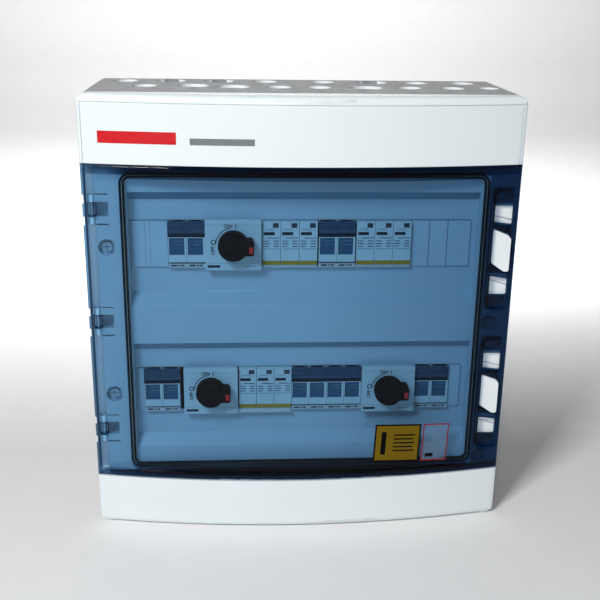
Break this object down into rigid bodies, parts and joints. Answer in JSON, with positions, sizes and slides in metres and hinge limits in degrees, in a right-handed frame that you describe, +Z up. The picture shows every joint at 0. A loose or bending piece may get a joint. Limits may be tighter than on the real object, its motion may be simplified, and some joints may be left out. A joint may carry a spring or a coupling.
{
  "type": "dc combiner box",
  "caption": "Wall-mounted modular enclosure with a bulged tinted hinged door, rotary isolators, fuse holders and surge cartridges on two rails.",
  "frame": {"origin": "bottom centre of the closed box", "axes": "+X to the right seen from the front, +Y towards the wall, +Z up; the door faces -Y"},
  "size_m": [0.41, 0.151, 0.434],
  "materials": {
    "base_plastic": "light grey moulded thermoplastic, fine grain",
    "cover_plastic": "white moulded thermoplastic, satin gloss",
    "tinted_polycarbonate": "smoky blue transparent polycarbonate",
    "foam_rubber": "black sealing rubber",
    "plated_steel": "bright zinc plated steel",
    "zinc_steel": "galvanised steel",
    "dark_steel": "blackened steel",
    "brass": "plain brass",
    "copper": "bare copper",
    "device_grey": "light grey moulded device housing",
    "device_white": "off-white moulded device housing",
    "carrier_grey": "grey moulded carrier",
    "knob_black": "black moulded handle",
    "yellow_label": "yellow printed film",
    "clear_label": "pale printed film"
  },
  "bodies": {
    "enclosure": {"base_box": "base_plastic", "base_gasket": "foam_rubber", "front_cover": "cover_plastic", "cover_screws": "plated_steel", "blank_plates": "cover_plastic", "hinge_pins": "dark_steel", "latch_keepers": "cover_plastic", "din_rails": "zinc_steel", "rail_frame": "zinc_steel", "rail_screws": "plated_steel", "earth_bar": "brass", "busbars": "copper", "fuse_base_1": "device_grey", "fuse_base_2": "device_grey", "fuse_base_3": "device_grey", "fuse_base_4": "device_grey", "fuse_base_5": "device_grey", "isolator_body_1": "device_grey", "isolator_body_2": "device_grey", "isolator_body_3": "device_grey", "isolator_plate_1": "device_white", "isolator_plate_2": "device_white", "isolator_plate_3": "device_white", "spd_base_1": "device_grey", "spd_base_2": "device_grey", "spd_base_3": "device_grey"},
    "door": {"door": "tinted_polycarbonate", "door_gasket": "foam_rubber", "warning_label": "yellow_label", "string_label": "clear_label"},
    "latch_upper": {"latch_upper": "cover_plastic"},
    "latch_lower": {"latch_lower": "cover_plastic"},
    "isolator_knob_1": {"isolator_knob_1": "knob_black"},
    "isolator_knob_2": {"isolator_knob_2": "knob_black"},
    "isolator_knob_3": {"isolator_knob_3": "knob_black"},
    "fuse_carrier_1": {"fuse_carrier_1": "carrier_grey"},
    "fuse_carrier_2": {"fuse_carrier_2": "carrier_grey"},
    "fuse_carrier_3": {"fuse_carrier_3": "carrier_grey"},
    "fuse_carrier_4": {"fuse_carrier_4": "carrier_grey"},
    "fuse_carrier_5": {"fuse_carrier_5": "carrier_grey"},
    "fuse_carrier_6": {"fuse_carrier_6": "carrier_grey"},
    "fuse_carrier_7": {"fuse_carrier_7": "carrier_grey"},
    "fuse_carrier_8": {"fuse_carrier_8": "carrier_grey"},
    "fuse_carrier_9": {"fuse_carrier_9": "carrier_grey"},
    "fuse_carrier_10": {"fuse_carrier_10": "carrier_grey"},
    "fuse_carrier_11": {"fuse_carrier_11": "carrier_grey"},
    "fuse_carrier_12": {"fuse_carrier_12": "carrier_grey"},
    "spd_cartridge_1": {"spd_cartridge_1": "device_white"},
    "spd_cartridge_2": {"spd_cartridge_2": "device_white"},
    "spd_cartridge_3": {"spd_cartridge_3": "device_white"},
    "spd_cartridge_4": {"spd_cartridge_4": "device_white"},
    "spd_cartridge_5": {"spd_cartridge_5": "device_white"},
    "spd_cartridge_6": {"spd_cartridge_6": "device_white"},
    "spd_cartridge_7": {"spd_cartridge_7": "device_white"},
    "spd_cartridge_8": {"spd_cartridge_8": "device_white"},
    "spd_cartridge_9": {"spd_cartridge_9": "device_white"}
  },
  "joints": [
    {"name": "door_hinge", "type": "hinge", "parent": "enclosure", "child": "door", "pos_m": [-0.197, -0.0475, 0.212], "axis": [0, 0, -1], "range_deg": [0, 120]},
    {"name": "latch_upper_press", "type": "slide", "parent": "door", "child": "latch_upper", "axis": [0, 1, 0], "range_m": [0, 0.003], "stiffness_N_per_m": 600},
    {"name": "latch_lower_press", "type": "slide", "parent": "door", "child": "latch_lower", "axis": [0, 1, 0], "range_m": [0, 0.003], "stiffness_N_per_m": 600},
    {"name": "isolator_knob_1_turn", "type": "hinge", "parent": "enclosure", "child": "isolator_knob_1", "pos_m": [-0.0662, -0.0525, 0.293], "axis": [0, 1, 0], "range_deg": [0, 90]},
    {"name": "isolator_knob_2_turn", "type": "hinge", "parent": "enclosure", "child": "isolator_knob_2", "pos_m": [-0.0898, -0.0525, 0.143], "axis": [0, 1, 0], "range_deg": [0, 90]},
    {"name": "isolator_knob_3_turn", "type": "hinge", "parent": "enclosure", "child": "isolator_knob_3", "pos_m": [0.0876, -0.0525, 0.143], "axis": [0, 1, 0], "range_deg": [0, 90]},
    {"name": "fuse_carrier_1_swing", "type": "hinge", "parent": "enclosure", "child": "fuse_carrier_1", "pos_m": [-0.1192, -0.0421, 0.275], "axis": [1, 0, 0], "range_deg": [0, 17]},
    {"name": "fuse_carrier_2_swing", "type": "hinge", "parent": "enclosure", "child": "fuse_carrier_2", "pos_m": [-0.1016, -0.0421, 0.275], "axis": [1, 0, 0], "range_deg": [0, 17]},
    {"name": "fuse_carrier_3_swing", "type": "hinge", "parent": "enclosure", "child": "fuse_carrier_3", "pos_m": [0.024, -0.0421, 0.275], "axis": [1, 0, 0], "range_deg": [0, 17]},
    {"name": "fuse_carrier_4_swing", "type": "hinge", "parent": "enclosure", "child": "fuse_carrier_4", "pos_m": [0.0416, -0.0421, 0.275], "axis": [1, 0, 0], "range_deg": [0, 17]},
    {"name": "fuse_carrier_5_swing", "type": "hinge", "parent": "enclosure", "child": "fuse_carrier_5", "pos_m": [-0.147, -0.0421, 0.125], "axis": [1, 0, 0], "range_deg": [0, 17]},
    {"name": "fuse_carrier_6_swing", "type": "hinge", "parent": "enclosure", "child": "fuse_carrier_6", "pos_m": [-0.1294, -0.0421, 0.125], "axis": [1, 0, 0], "range_deg": [0, 17]},
    {"name": "fuse_carrier_7_swing", "type": "hinge", "parent": "enclosure", "child": "fuse_carrier_7", "pos_m": [-0.0006, -0.0421, 0.125], "axis": [1, 0, 0], "range_deg": [0, 17]},
    {"name": "fuse_carrier_8_swing", "type": "hinge", "parent": "enclosure", "child": "fuse_carrier_8", "pos_m": [0.017, -0.0421, 0.125], "axis": [1, 0, 0], "range_deg": [0, 17]},
    {"name": "fuse_carrier_9_swing", "type": "hinge", "parent": "enclosure", "child": "fuse_carrier_9", "pos_m": [0.0346, -0.0421, 0.125], "axis": [1, 0, 0], "range_deg": [0, 17]},
    {"name": "fuse_carrier_10_swing", "type": "hinge", "parent": "enclosure", "child": "fuse_carrier_10", "pos_m": [0.0522, -0.0421, 0.125], "axis": [1, 0, 0], "range_deg": [0, 17]},
    {"name": "fuse_carrier_11_swing", "type": "hinge", "parent": "enclosure", "child": "fuse_carrier_11", "pos_m": [0.1232, -0.0421, 0.125], "axis": [1, 0, 0], "range_deg": [0, 17]},
    {"name": "fuse_carrier_12_swing", "type": "hinge", "parent": "enclosure", "child": "fuse_carrier_12", "pos_m": [0.1408, -0.0421, 0.125], "axis": [1, 0, 0], "range_deg": [0, 17]},
    {"name": "spd_cartridge_1_pull", "type": "slide", "parent": "enclosure", "child": "spd_cartridge_1", "axis": [0, -1, 0], "range_m": [0, 0.01]},
    {"name": "spd_cartridge_2_pull", "type": "slide", "parent": "enclosure", "child": "spd_cartridge_2", "axis": [0, -1, 0], "range_m": [0, 0.01]},
    {"name": "spd_cartridge_3_pull", "type": "slide", "parent": "enclosure", "child": "spd_cartridge_3", "axis": [0, -1, 0], "range_m": [0, 0.01]},
    {"name": "spd_cartridge_4_pull", "type": "slide", "parent": "enclosure", "child": "spd_cartridge_4", "axis": [0, -1, 0], "range_m": [0, 0.01]},
    {"name": "spd_cartridge_5_pull", "type": "slide", "parent": "enclosure", "child": "spd_cartridge_5", "axis": [0, -1, 0], "range_m": [0, 0.01]},
    {"name": "spd_cartridge_6_pull", "type": "slide", "parent": "enclosure", "child": "spd_cartridge_6", "axis": [0, -1, 0], "range_m": [0, 0.01]},
    {"name": "spd_cartridge_7_pull", "type": "slide", "parent": "enclosure", "child": "spd_cartridge_7", "axis": [0, -1, 0], "range_m": [0, 0.01]},
    {"name": "spd_cartridge_8_pull", "type": "slide", "parent": "enclosure", "child": "spd_cartridge_8", "axis": [0, -1, 0], "range_m": [0, 0.01]},
    {"name": "spd_cartridge_9_pull", "type": "slide", "parent": "enclosure", "child": "spd_cartridge_9", "axis": [0, -1, 0], "range_m": [0, 0.01]}
  ]
}
